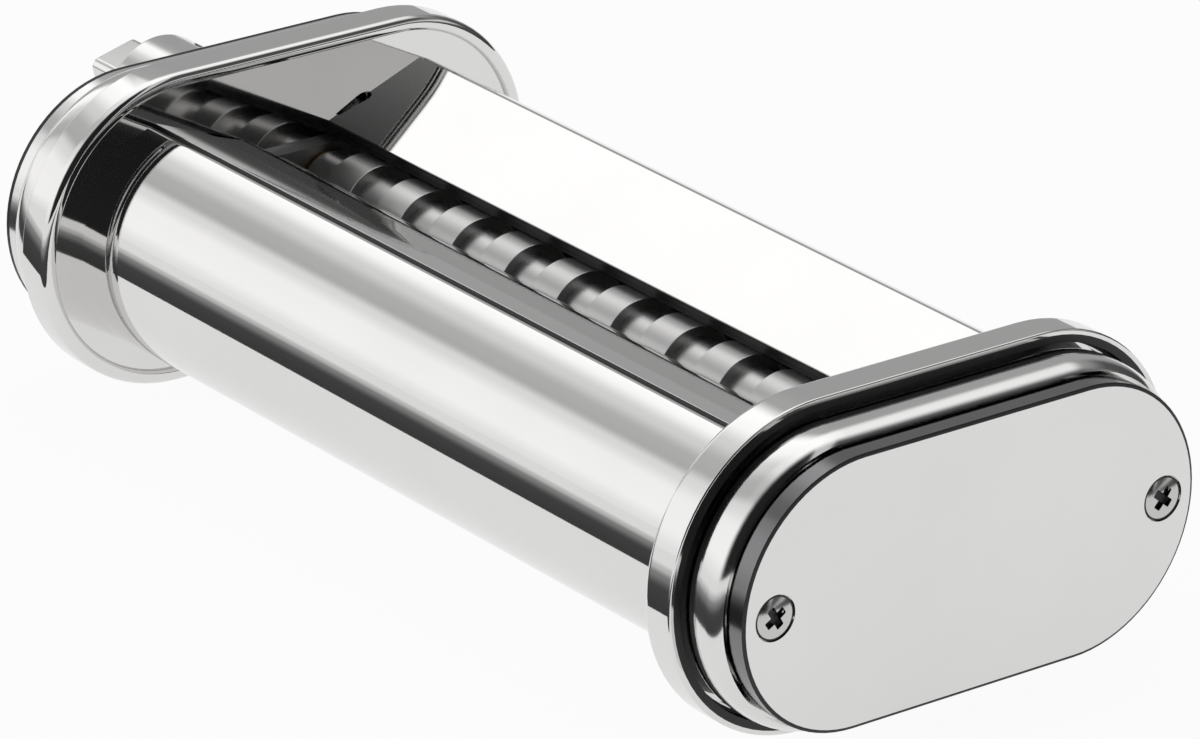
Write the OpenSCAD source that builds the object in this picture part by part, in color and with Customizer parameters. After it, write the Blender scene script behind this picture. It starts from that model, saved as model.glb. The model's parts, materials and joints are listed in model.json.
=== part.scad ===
// Noodle cutter attachment for a powered drive: two meshing cutter rollers in a polished
// shell between two oval end caps, driven through a square tang on the drive end.
// +X runs from the drive end to the plain end, -Y is the front, +Z is up.
// The origin is on the surface that the caps stand on, in the middle of the overall length.

/* [Cutters] */
// Width of one noodle strip, which is the width of one cutting ring
strip_w = 6.5; // [6:0.1:7]
// Number of strips cut at once, an even number
strip_count = 22; // [18:2:24]
// Diameter over the cutting rings
ring_d = 14.2; // [13.9:0.1:14.3]
// Height of the roller axes over the middle of the end caps
roller_lift = 2.2; // [1.6:0.1:2.6]
// Diameter of the roller journals
journal_d = 7; // [6:0.2:7.2]

/* [Gears] */
// Teeth on each of the two equal roller gears
gear_teeth = 14; // [14:2:14]
// Gear module, which with the teeth sets the distance between the rollers
gear_module = 0.9; // [0.89:0.01:0.92]
// Face width of the roller gears
gear_w = 6.5; // [5:0.5:7]

/* [Shell] */
// Outer radius of the rounded front and rear of the shell
shell_r = 19.9; // [19.5:0.1:20.3]
// Distance from the middle of the shell to the centre of each rounded side
shell_centre_y = 19.4; // [19:0.1:19.8]
// Distance that the centres of the rounded sides lie below the middle of the caps
shell_drop = 0.6; // [0:0.1:1]
// Sheet thickness of the two shell covers
cover_t = 0.9; // [0.8:0.1:1.1]
// Width of the feed slot between the two hopper edges
slot_w = 16.6; // [15.6:0.2:18]
// Height of the hopper edges over the middle of the end caps
slot_z = 10.8; // [10.6:0.1:11.2]
// Slope of the two hopper plates in degrees
hopper_slope = 21.6; // [20:0.2:23]
// Outer radius of the fold along the top of each cover
fold_r = 1.6; // [1.2:0.1:2.2]
// Width of the exit opening in the underside
exit_w = 22; // [20:0.5:24]

/* [End caps] */
// Height of the end caps over the rim
cap_h = 51.8; // [51.4:0.2:54]
// Distance between the centres of the two round ends of a cap
cap_centres = 41.8; // [40.8:0.2:43]
// Width of the polished rim, measured along the length
rim_w = 6.2; // [5.6:0.1:7]
// Radial thickness of the rim
rim_t = 2.5; // [2.2:0.1:2.8]
// Rounding of the rim's edges
rim_round = 1.1; // [0.6:0.1:1.1]
// Depth of the domed cover, from the rim to the end plate
dome_h = 7.2; // [6.6:0.1:8]
// Rounding of the domed cover's shoulder
dome_round = 4; // [3.6:0.1:4.2]
// Height that the end plate stands proud of the domed cover
plate_h = 3.7; // [3.4:0.1:4.2]
// Distance from each end of the end plate to its screw
plate_screw_in = 6.4; // [6:0.2:7.2]
// Diameter of the end plate screw heads
screw_head_d = 6.6; // [6.2:0.1:6.8]

/* [Drive] */
// Side of the square drive tang
tang_side = 9.4; // [9:0.1:9.6]
// Length of the drive tang beyond its shaft
tang_l = 10; // [8:0.5:12]
// Diameter of the sleeve that locates the attachment in its socket
sleeve_d = 20; // [19.6:0.2:21]
// Length of the sleeve
sleeve_l = 20.8; // [18:0.2:24]
// Diameter of the boss at the foot of the sleeve
boss_d = 28.5; // [28.3:0.1:29.5]
// Length of the boss
boss_l = 7; // [6:0.2:7.4]

/* [Hidden] */

$fn = 96;
over = 0.5;            // how far a cutting shape runs past what it cuts

// Rollers
axis_gap = gear_teeth * gear_module;
axis_y = axis_gap / 2;
ring_r = ring_d / 2;
mesh_gap = 0.1;        // clearance of a ring to the core and to the rings beside it
core_r = axis_gap - ring_r - mesh_gap;
ring_w = strip_w - 2 * mesh_gap;
roller_half = strip_count * strip_w / 2;
journal_r = journal_d / 2;
running_gap = 0.04;    // radial clearance of a journal in its bush
washer_t = 0.6;
washer_r = core_r - 0.2;

// Positions along the length, from the middle of the shell outwards
frame_in = roller_half + washer_t + 0.3;
frame_t = 2;
wall_in = frame_in + frame_t;
wall_t = 1.2;
wall_out = wall_in + wall_t;
rim_lip = 0.8;         // how far the rim stands inwards of the end wall
rim_in = wall_in - rim_lip;
rim_out = rim_in + rim_w;
plate_in = rim_out + dome_h;
plate_out = plate_in + plate_h;

// End caps, all ovals about the same two centres
oval_c = cap_centres / 2;
rim_r = cap_h / 2;
dome_r = rim_r - rim_t;
sheet_t = 1.2;         // sheet of the domed covers
plate_r = dome_r - 1.5;
plate_t = 1.6;
plate_wall = 1.6;
plate_round = 0.8;
opening_r = plate_r - 3;
// height at which the dome's shoulder is as wide as the end plate
dome_mid_r = dome_r - dome_round;
dome_top = plate_in + dome_round - sqrt(pow(dome_round, 2) - pow(plate_r + 0.1 - dome_mid_r, 2));
post_r = 3.2;
plate_screw_y = oval_c + plate_r - plate_screw_in;
plate_screw_r = 1.6;
plate_screw_l = 8;
post_hole_l = 8.7;     // depth of the threaded hole in each post
screw_recess = 0.8;    // depth of the recess round each end plate screw head
screw_head_h = 0.9;

// Shell covers: centre of the round side, direction of the hopper plate, centre of the fold
shell_c = [shell_centre_y, -shell_drop];
slot_edge = [slot_w / 2, slot_z];
slope_dir = [cos(hopper_slope), sin(hopper_slope)];
slope_up = [-sin(hopper_slope), cos(hopper_slope)];
from_c = slot_edge - fold_r * slope_up - shell_c;
slope_run = -from_c * slope_dir
    + sqrt(pow(from_c * slope_dir, 2) - from_c * from_c + pow(shell_r - fold_r, 2));
fold_c = slot_edge - fold_r * slope_up + slope_run * slope_dir;
fold_angle = atan2(fold_c[1] - shell_c[1], fold_c[0] - shell_c[0]);
lap = 1;               // angle by which the shell's joined shapes overlap
lip_h = 1.6;           // downturned lip along the feed slot
relief_w = 1.3;        // relief notch where each hopper plate meets the end wall
relief_from = 1.2;
relief_to = 7.6;

// Side frames
frame_top = slot_z - 2.2;
frame_drop = 13;       // how far the middle of a side frame reaches below the caps' middle

// Tie rods, as [y, z] behind the middle
rod_r = 3;
rod_upper = [26, 6];
rod_lower = [24, -12.5];
rod_screw_r = 1.6;
rod_screw_l = 8;
rod_head_r = 2.8;
rod_head_h = 1.8;

// Stripper combs
comb_y = 16.4;
comb_t = 1.8;
comb_z = [-9, -3];
comb_gap = 0.35;       // clearance of a finger to the roller core
finger_w = strip_w - 0.9;

// Bushes
bush_r = journal_r + 1.5;
bush_flange_r = bush_r + 0.8;
bush_flange_t = 1;

// Gears at the plain end
gear_in = wall_out + bush_flange_t + 0.4;
gear_out = gear_in + gear_w;
clip_t = 0.8;
clip_r = journal_r + 1.6;
pin_r = 0.9;
journal_end = gear_out + clip_t + 0.7;
pitch_r = axis_gap / 2;
gear_root_r = pitch_r - 1.2 * gear_module;
gear_tip_r = pitch_r + 0.85 * gear_module;
tooth_gap = 0.16;      // backlash at the pitch circle

// Drive end
shaft_r = 7;
shaft_in = wall_out + bush_flange_t + 1.8;
socket_l = 8;
sleeve_in = plate_out;
boss_end = sleeve_in + boss_l;
sleeve_end = boss_end + sleeve_l;
shaft_end = sleeve_end + 0.6;
tang_end = shaft_end + tang_l;
spigot_r = 10.2;
spigot_l = 4.2;
liner_r = shaft_r + 1.5;
liner_l = sleeve_l + 4;
tang_turn = 14.7;      // angle of the tang's flats at rest
tang_chamfer = 0.9;
dimple_r = 2.2;
dimple_turn = 61;
dimple_from_end = 6.5;
dimple_depth = 1.1;
boss_round = 0.6;
sleeve_round = 0.5;
sleeve_screw_ring = 12.6;
sleeve_screw_r = 1.2;
sleeve_screw_bite = 4.5; // length of a sleeve screw inside the sleeve
sleeve_screw_head_r = 2;
sleeve_screw_head_h = 1.4;

frame_shift = (tang_end - plate_out - 0.1) / 2;

// Unit vector at the angle a
function dir(a) = [cos(a), sin(a)];

// The vector v turned by the angle a
function turned(v, a) = [v[0] * cos(a) - v[1] * sin(a), v[0] * sin(a) + v[1] * cos(a)];

// Moves a piece from the middle of the caps to the shared origin
module place() translate([frame_shift, 0, rim_r]) children();

// Turns a shape drawn along +Z with +X as its long side so that it runs along +X
module along() rotate([90, 0, 90]) children();

// A plate or bar with the [y, z] outline of its children, from x0 to x1
module slab(x0, x1) translate([x0, 0, 0]) along() linear_extrude(x1 - x0) children();

// A round bar about the point p, as [y, z], from x0 to x1
module bar(p, r, x0, x1) slab(x0, x1) translate(p) circle(r);

// Repeats a piece mirrored to the drive end
module drive_side() mirror([1, 0, 0]) children();

// Repeats a piece mirrored to the front
module front_side() mirror([0, 1, 0]) children();

// Carries a [radius, height] profile round an oval with its end centres c from the middle
module oval_sweep(c) {
    for (side = [0, 180]) rotate(side) {
        translate([c, 0, 0]) rotate(-90) rotate_extrude(angle = 180) children();
        translate([-c, 0, 0]) rotate([90, 0, 90]) linear_extrude(2 * c) children();
    }
}

// Flat oval outline of end radius r
module oval(r) {
    square([2 * oval_c, 2 * r], center = true);
    for (side = [-1, 1]) translate([side * oval_c, 0]) circle(r);
}

// Profile rectangle from r0 to r1 and from h0 to h1 with rounded corners
module rounded_profile(r0, r1, h0, h1, round) {
    translate([r0 + round, h0]) square([r1 - r0 - 2 * round, h1 - h0]);
    translate([r0, h0 + round]) square([r1 - r0, h1 - h0 - 2 * round]);
    for (r = [r0 + round, r1 - round], h = [h0 + round, h1 - round])
        translate([r, h]) circle(round, $fn = 48);
}

// Point on the round side of the shell at the angle a, its surface set in by d
function on_shell(a, d) = shell_c + (shell_r - d) * dir(a);

// Filled rear half of the shell from x0 to x1, its surface set in by d and its inner side at
// y = edge
module half_shell(d, edge, x0, x1) {
    far = 3 * shell_r;
    top_edge = slot_edge + ((edge - slot_edge[0]) / slope_dir[0]) * slope_dir - d * slope_up;
    slab(x0, x1) translate(shell_c) intersection() {
        circle(shell_r - d);
        polygon([
            [0, 0], far * dir(fold_angle - lap), [far, far], [far, -far], far * dir(lap - 90)
        ]);
    }
    bar(fold_c, fold_r - d, x0, x1);
    slab(x0, x1) polygon([
        top_edge,
        fold_c + (fold_r - d) * slope_up,
        fold_c,
        on_shell(fold_angle, d),
        on_shell(fold_angle - 2 * lap, d),
        shell_c + [fold_r, 0],
        on_shell(2 * lap - 90, d),
        on_shell(-90, d),
        [edge, shell_c[1] - shell_r + d]
    ]);
}

// Sheet cover for the rear half of the shell
module cover() {
    lip_top = slot_edge - cover_t * slope_up;
    past = wall_in + over;
    difference() {
        half_shell(0, slot_edge[0], -wall_in, wall_in);
        half_shell(cover_t, slot_edge[0] - 5, -past, past);
        slab(-past, past) translate([0, -2 * shell_r]) square([exit_w / 2, 2 * shell_r]);
        for (end = [-1, 1]) translate([end * wall_in, slot_edge[0], 0]) relief();
    }
    slab(-frame_in, frame_in) polygon([
        slot_edge,
        slot_edge - [0, lip_h],
        slot_edge + [cover_t * 0.8, -lip_h],
        lip_top + [cover_t * 0.8, 0.35]
    ]);
}

// Upright cutter for the teardrop notch in the end of a hopper plate
module relief() {
    straight = relief_to - relief_from - relief_w;
    translate([0, relief_from, 0]) linear_extrude(2 * shell_r) {
        polygon([
            [-relief_w / 3, 0], [relief_w / 3, 0], [relief_w, straight], [-relief_w, straight]
        ]);
        translate([0, straight]) circle(relief_w);
    }
}

module front_cover() color("lightgray") place() front_side() cover();
module rear_cover() color("lightgray") place() cover();

// Side frame: it fills the end of the shell, with a level edge across the feed slot
module side_frame() {
    difference() {
        union() {
            for (side = [0, 1]) mirror([0, side, 0])
                half_shell(cover_t, -fold_r, frame_in, wall_in);
            slab(frame_in, wall_in) translate([-slot_w / 2, -frame_drop])
                square([slot_w, frame_drop + frame_top]);
        }
        slab(frame_in - over, wall_in + over) {
            translate([-slot_w / 2 - cover_t - 0.3, frame_top])
                square([slot_w + 2 * cover_t + 0.6, shell_r]);
            translate([-exit_w / 2, -2 * shell_r]) square([exit_w, 2 * shell_r - frame_drop]);
            for (side = [-1, 1]) {
                translate([side * axis_y, roller_lift]) circle(bush_r);
                for (p = [rod_upper, rod_lower])
                    translate([side * p[0], p[1]]) circle(rod_screw_r);
                translate([side * (comb_y + comb_t / 2), comb_z[0]])
                    translate([-comb_t / 2, 0]) square([comb_t, comb_z[1] - comb_z[0]]);
            }
        }
    }
}

module plain_side_frame() color("darkgray") place() side_frame();
module drive_side_frame() color("darkgray") place() drive_side() side_frame();

module tie_rod(p) {
    difference() {
        bar(p, rod_r, -frame_in, frame_in);
        for (end = [-1, 1])
            bar(p, rod_screw_r, end * frame_in - rod_screw_l, end * frame_in + rod_screw_l);
    }
}

module front_upper_tie_rod() color("silver") place() front_side() tie_rod(rod_upper);
module rear_upper_tie_rod() color("silver") place() tie_rod(rod_upper);
module front_lower_tie_rod() color("silver") place() front_side() tie_rod(rod_lower);
module rear_lower_tie_rod() color("silver") place() tie_rod(rod_lower);

// Pan head screw at the point p, its head standing on x0 and its shank running inwards
module pan_screw(p, x0, shank_r, shank_l, head_r, head_h) {
    slot_l = head_r * 1.2;
    slot_t = head_r * 0.24;
    difference() {
        union() {
            bar(p, shank_r, x0 - shank_l, x0 + head_h / 2);
            translate([x0, p[0], p[1]]) along() rotate_extrude() difference() {
                square([head_r, head_h]);
                translate([head_r, head_h]) difference() {
                    translate([-head_h / 2, -head_h / 2]) square(head_h);
                    translate([-head_h / 2, -head_h / 2]) circle(head_h / 2, $fn = 32);
                }
            }
        }
        translate([x0 + head_h * 0.55, p[0], p[1]]) for (turn = [0, 90])
            rotate([turn + 20, 0, 0])
                translate([0, -slot_l / 2, -slot_t / 2]) cube([head_h, slot_l, slot_t]);
    }
}

module frame_screws() {
    for (side = [-1, 1], p = [rod_upper, rod_lower])
        pan_screw([side * p[0], p[1]], wall_out, rod_screw_r, rod_screw_l + frame_t,
                  rod_head_r, rod_head_h);
}

module plain_frame_screws() color("dimgray") place() frame_screws();
module drive_frame_screws() color("dimgray") place() drive_side() frame_screws();

// Comb for the rear roller, with one finger in each groove; first is the x of the first groove
module comb(first) {
    translate([0, comb_y, comb_z[0]])
        translate([-wall_in, 0, 0]) cube([2 * wall_in, comb_t, comb_z[1] - comb_z[0]]);
    for (k = [0 : strip_count / 2 - 1]) {
        mid = first + k * 2 * strip_w + strip_w / 2;
        slab(mid - finger_w / 2, mid + finger_w / 2) difference() {
            polygon([
                [comb_y, comb_z[0] + 1], [comb_y, comb_z[1]],
                [axis_y + core_r + 0.6, roller_lift - 1],
                [axis_y + 1.5, roller_lift - core_r - 1.6]
            ]);
            translate([axis_y, roller_lift]) circle(core_r + comb_gap);
        }
    }
}

module front_stripper_comb() color("silver") place() front_side() comb(-roller_half + strip_w);
module rear_stripper_comb() color("silver") place() comb(-roller_half);

module bush() {
    p = [axis_y, roller_lift];
    difference() {
        union() {
            bar(p, bush_r, frame_in, wall_out + bush_flange_t);
            bar(p, bush_flange_r, wall_out, wall_out + bush_flange_t);
        }
        bar(p, journal_r + running_gap, frame_in - over, wall_out + bush_flange_t + over);
    }
}

module plain_front_bush() color("peru") place() front_side() bush();
module plain_rear_bush() color("peru") place() bush();
module drive_front_bush() color("peru") place() drive_side() front_side() bush();
module drive_rear_bush() color("peru") place() drive_side() bush();

module end_wall() {
    difference() {
        union() {
            along() oval_sweep(oval_c)
                rounded_profile(dome_r, rim_r, rim_in, rim_out, rim_round);
            slab(wall_in, wall_out) oval(dome_r + rim_round);
        }
        for (side = [-1, 1]) {
            bar([side * axis_y, roller_lift], bush_r, wall_in - over, wall_out + over);
            for (p = [rod_upper, rod_lower])
                bar([side * p[0], p[1]], rod_screw_r, wall_in - over, wall_out + over);
        }
    }
}

module plain_end_wall() color("whitesmoke") place() end_wall();
module drive_end_wall() color("whitesmoke") place() drive_side() end_wall();

// [radius, height] profile of the domed cover's outside, filled, set in by d
module dome_profile(d) {
    square([dome_r - d, dome_top - dome_round]);
    square([dome_mid_r, dome_top - d]);
    translate([dome_mid_r, dome_top - dome_round]) circle(dome_round - d, $fn = 64);
}

module end_cover() {
    along() oval_sweep(oval_c) difference() {
        dome_profile(0);
        dome_profile(sheet_t);
        translate([-2 * over, -over]) square([dome_r + 2, wall_out + over]);
        translate([-2 * over, 0]) square([opening_r + 2 * over, dome_top + over]);
        translate([0, plate_in]) square([dome_r, dome_top]);
    }
    along() oval_sweep(oval_c)
        translate([opening_r, plate_in - sheet_t - 0.4])
            square([dome_mid_r + 1 - opening_r, sheet_t + 0.4]);
}

module plain_end_cover() color("gainsboro") place() end_cover();
module drive_end_cover() color("gainsboro") place() drive_side() end_cover();

module end_posts() {
    for (side = [-1, 1]) difference() {
        bar([side * plate_screw_y, 0], post_r, wall_out, plate_out - plate_t);
        bar([side * plate_screw_y, 0], plate_screw_r,
            plate_out - plate_t - post_hole_l, plate_out);
    }
}

module plain_end_posts() color("silver") place() end_posts();
module drive_end_posts() color("silver") place() drive_side() end_posts();

module end_plate() {
    difference() {
        union() {
            along() oval_sweep(oval_c) difference() {
                rounded_profile(0, plate_r, plate_in, plate_out, plate_round);
                translate([-plate_round, plate_in - over])
                    square([plate_round + 0.001, plate_h + 2 * over]);
            }
            slab(plate_in, plate_in + plate_round) oval(plate_r);
            slab(plate_out - plate_round, plate_out) oval(plate_r - plate_round);
        }
        slab(plate_in - over, plate_out - plate_t) oval(plate_r - plate_wall);
        for (side = [-1, 1]) {
            bar([side * plate_screw_y, 0], screw_head_d / 2 + 0.3,
                plate_out - screw_recess, plate_out + over);
            bar([side * plate_screw_y, 0], plate_screw_r, plate_in, plate_out + over);
        }
    }
}

module plain_end_plate() color("whitesmoke") place() end_plate();

module drive_end_plate() color("whitesmoke") place() drive_side() difference() {
    end_plate();
    bar([axis_y, roller_lift], spigot_r, plate_in, plate_out + over);
    sleeve_screw_places() circle_bar(sleeve_screw_r, plate_in, plate_out + over);
}

module end_screws() {
    for (side = [-1, 1])
        pan_screw([side * plate_screw_y, 0], plate_out - screw_recess, plate_screw_r, plate_screw_l,
                  screw_head_d / 2, screw_head_h);
}

module plain_end_screws() color("gray") place() end_screws();
module drive_end_screws() color("gray") place() drive_side() end_screws();

// Three places round the drive axis for the screws that hold the sleeve
module sleeve_screw_places() {
    for (turn = [90, 210, 330])
        translate([0, axis_y + sleeve_screw_ring * cos(turn),
                   roller_lift + sleeve_screw_ring * sin(turn)]) children();
}

// A round bar along X about the local axis
module circle_bar(r, x0, x1) translate([x0, 0, 0]) rotate([0, 90, 0]) cylinder(r = r, h = x1 - x0);

module drive_sleeve() color("silver") place() drive_side() {
    p = [axis_y, roller_lift];
    difference() {
        union() {
            bar(p, spigot_r, sleeve_in - spigot_l, sleeve_in + over);
            translate([sleeve_in, p[0], p[1]]) along() rotate_extrude()
                rounded_profile(0, boss_d / 2, 0, boss_l, boss_round);
            translate([sleeve_in, p[0], p[1]]) along() rotate_extrude()
                rounded_profile(0, sleeve_d / 2, boss_round, boss_l + sleeve_l, sleeve_round);
            bar(p, boss_d / 2, sleeve_in, sleeve_in + 2 * boss_round);
        }
        bar(p, liner_r, sleeve_in - spigot_l - over, sleeve_end + over);
        sleeve_screw_places() circle_bar(sleeve_screw_r, sleeve_in - over, sleeve_in + sleeve_screw_bite + over);
        translate([sleeve_end - dimple_from_end, p[0], p[1]]) rotate([dimple_turn - 90, 0, 0])
            translate([0, 0, sleeve_d / 2 - dimple_depth])
                cylinder(r = dimple_r, h = 2 * dimple_depth);
    }
}

module sleeve_bush() color("peru") place() drive_side() difference() {
    bar([axis_y, roller_lift], liner_r, sleeve_end - liner_l, sleeve_end);
    bar([axis_y, roller_lift], shaft_r + running_gap,
        sleeve_end - liner_l - over, sleeve_end + over);
}

module sleeve_screws() color("dimgray") place() drive_side()
    sleeve_screw_places() translate([plate_out - plate_t, 0, 0]) mirror([1, 0, 0])
        pan_screw([0, 0], 0, sleeve_screw_r, plate_t + sleeve_screw_bite,
                  sleeve_screw_head_r, sleeve_screw_head_h);

// Cutter roller about the rear axis; first is the x at which its first ring starts
module cutter_roller(first, end0, end1) {
    p = [axis_y, roller_lift];
    difference() {
        union() {
            bar(p, core_r, -roller_half, roller_half);
            for (k = [0 : strip_count / 2 - 1]) {
                x0 = first + k * 2 * strip_w + mesh_gap;
                bar(p, ring_r, x0, x0 + ring_w);
            }
            bar(p, journal_r, end0, end1);
        }
        pin_hole((gear_in + gear_out) / 2);
        if (end0 < -shaft_in - over) pin_hole(-shaft_in - socket_l / 2);
    }
}

// Cross hole for a pin through the rear axis at x
module pin_hole(x) translate([x, axis_y, roller_lift - 2 * shaft_r])
    cylinder(r = pin_r, h = 4 * shaft_r);

module rear_cutter_roller() color("silver") place()
    cutter_roller(-roller_half + strip_w, -shaft_in - socket_l, journal_end);
module front_cutter_roller() color("silver") place() front_side()
    cutter_roller(-roller_half, -wall_out - bush_flange_t - clip_t - 1.2, journal_end);

// Outline of one roller gear about its own axis, a tooth at angle 0 when turn is 0
module gear_outline(turn) {
    pitch = 360 / gear_teeth;
    // half the tooth angle at the radius r, on an involute of pressure angle 20 degrees
    function half_tooth(r) = 90 / gear_teeth - tooth_gap / pitch_r * 90 / PI
        + involute(pressure) - involute(acos(min(1, base_r / r)));
    function involute(a) = tan(a) * 180 / PI - a;
    pressure = 20;
    base_r = pitch_r * cos(pressure);
    start_r = max(base_r, gear_root_r);
    steps = 4;
    radii = [for (i = [0 : steps]) start_r + i / steps * (gear_tip_r - start_r)];
    polygon([
        for (t = [0 : gear_teeth - 1]) let (mid = turn + t * pitch) each concat(
            [gear_root_r * dir(mid - half_tooth(radii[0]))],
            [for (r = radii) r * dir(mid - half_tooth(r))],
            [for (i = [steps : -1 : 0]) radii[i] * dir(mid + half_tooth(radii[i]))],
            [gear_root_r * dir(mid + half_tooth(radii[0]))]
        )
    ]);
}

module roller_gear(turn) difference() {
    slab(gear_in, gear_out) translate([axis_y, roller_lift]) difference() {
        gear_outline(turn);
        circle(journal_r);
    }
    pin_hole((gear_in + gear_out) / 2);
}

module rear_roller_gear() color("slategray") place() roller_gear(0);
module front_roller_gear() color("slategray") place() front_side() roller_gear(180 / gear_teeth);

// Cross pin through the rear axis at x, as long as the part of radius r that it holds
module cross_pin(x, r) translate([x, axis_y, roller_lift - r]) cylinder(r = pin_r, h = 2 * r);

module rear_gear_pin() color("gray") place() cross_pin((gear_in + gear_out) / 2, gear_root_r - 0.2);
module front_gear_pin() color("gray") place() front_side()
    cross_pin((gear_in + gear_out) / 2, gear_root_r - 0.2);
module drive_shaft_pin() color("gray") place() cross_pin(-shaft_in - socket_l / 2, shaft_r - 0.3);

// Spring clip round a journal from x0, open at the bottom
module journal_clip(x0) slab(x0, x0 + clip_t) translate([axis_y, roller_lift]) difference() {
    circle(clip_r);
    circle(journal_r);
    translate([-1, -2 * clip_r]) square([2, 2 * clip_r]);
}

module rear_gear_clip() color("dimgray") place() journal_clip(gear_out);
module front_gear_clip() color("dimgray") place() front_side() journal_clip(gear_out);
module front_journal_clip() color("dimgray") place() front_side()
    journal_clip(-wall_out - bush_flange_t - clip_t - 0.3);

module thrust_washers() for (end = [0, 1]) mirror([end, 0, 0])
    slab(roller_half, roller_half + washer_t) translate([axis_y, roller_lift]) difference() {
        circle(washer_r);
        circle(journal_r);
    }

module rear_thrust_washers() color("peru") place() thrust_washers();
module front_thrust_washers() color("peru") place() front_side() thrust_washers();

module drive_shaft() color("gainsboro") place() drive_side() {
    p = [axis_y, roller_lift];
    half = tang_side / 2;
    difference() {
        union() {
            bar(p, shaft_r, shaft_in, shaft_end);
            translate([shaft_end - over, p[0], p[1]]) rotate([tang_turn, 0, 0]) along()
                linear_extrude(tang_l + over) polygon([
                    for (q = [0 : 3]) let (a = q * 90) each [
                        turned([half, half - tang_chamfer], a),
                        turned([half - tang_chamfer, half], a)
                    ]
                ]);
        }
        bar(p, journal_r, shaft_in - over, shaft_in + socket_l);
        mirror([1, 0, 0]) pin_hole(-shaft_in - socket_l / 2);
    }
}

front_cover();
rear_cover();
plain_side_frame();
drive_side_frame();
front_upper_tie_rod();
rear_upper_tie_rod();
front_lower_tie_rod();
rear_lower_tie_rod();
plain_frame_screws();
drive_frame_screws();
front_stripper_comb();
rear_stripper_comb();
plain_front_bush();
plain_rear_bush();
drive_front_bush();
drive_rear_bush();
plain_end_wall();
drive_end_wall();
plain_end_cover();
drive_end_cover();
plain_end_posts();
drive_end_posts();
plain_end_plate();
drive_end_plate();
plain_end_screws();
drive_end_screws();
drive_sleeve();
sleeve_bush();
sleeve_screws();
rear_cutter_roller();
drive_shaft();
drive_shaft_pin();
rear_roller_gear();
rear_gear_pin();
rear_gear_clip();
rear_thrust_washers();
front_cutter_roller();
front_roller_gear();
front_gear_pin();
front_gear_clip();
front_journal_clip();
front_thrust_washers();
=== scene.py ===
"""Dresses the noodle cutter attachment: its polished shell, caps, rollers and drive, and a plain studio."""

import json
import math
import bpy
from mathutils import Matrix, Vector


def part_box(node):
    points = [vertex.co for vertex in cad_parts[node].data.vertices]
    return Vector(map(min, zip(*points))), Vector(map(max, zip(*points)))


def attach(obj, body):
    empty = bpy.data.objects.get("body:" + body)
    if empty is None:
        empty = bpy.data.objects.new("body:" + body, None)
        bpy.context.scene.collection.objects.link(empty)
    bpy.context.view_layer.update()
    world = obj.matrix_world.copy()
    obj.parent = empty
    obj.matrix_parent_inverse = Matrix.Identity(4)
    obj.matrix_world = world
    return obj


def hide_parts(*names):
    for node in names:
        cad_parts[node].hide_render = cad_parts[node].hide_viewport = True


bl_info = {
    "name": "Noodle Cutter Attachment",
    "version": (1, 0, 0),
    "blender": (4, 5, 0),
    "location": "View3D > Sidebar > Noodle Cutter",
    "description": "Models the polished pieces of a noodle cutter attachment on its fixed frame",
    "category": "Object",
}

import bmesh
import bpy
from mathutils import Matrix, Vector

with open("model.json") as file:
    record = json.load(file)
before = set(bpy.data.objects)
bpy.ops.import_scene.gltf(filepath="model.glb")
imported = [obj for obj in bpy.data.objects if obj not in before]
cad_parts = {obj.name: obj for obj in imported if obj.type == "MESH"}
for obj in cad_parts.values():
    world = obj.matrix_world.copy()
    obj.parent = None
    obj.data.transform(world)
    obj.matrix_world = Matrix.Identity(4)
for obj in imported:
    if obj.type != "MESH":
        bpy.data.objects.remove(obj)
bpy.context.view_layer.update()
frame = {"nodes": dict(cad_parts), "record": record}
MM = 0.001


def span(node, axis):
    """The lowest and highest place of a frame node along one axis."""
    low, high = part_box(node)
    return low[axis], high[axis]


RIM_IN, RIM_OUT = span("plain_end_wall", 0)
CAP_TOP = span("plain_end_wall", 2)[1]
CAP_HALF_WIDTH = span("plain_end_wall", 1)[1]
CAP_MID = CAP_TOP / 2
SHELL_X0, SHELL_X1 = span("rear_cover", 0)
SHELL_MID = (SHELL_X0 + SHELL_X1) / 2


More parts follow.
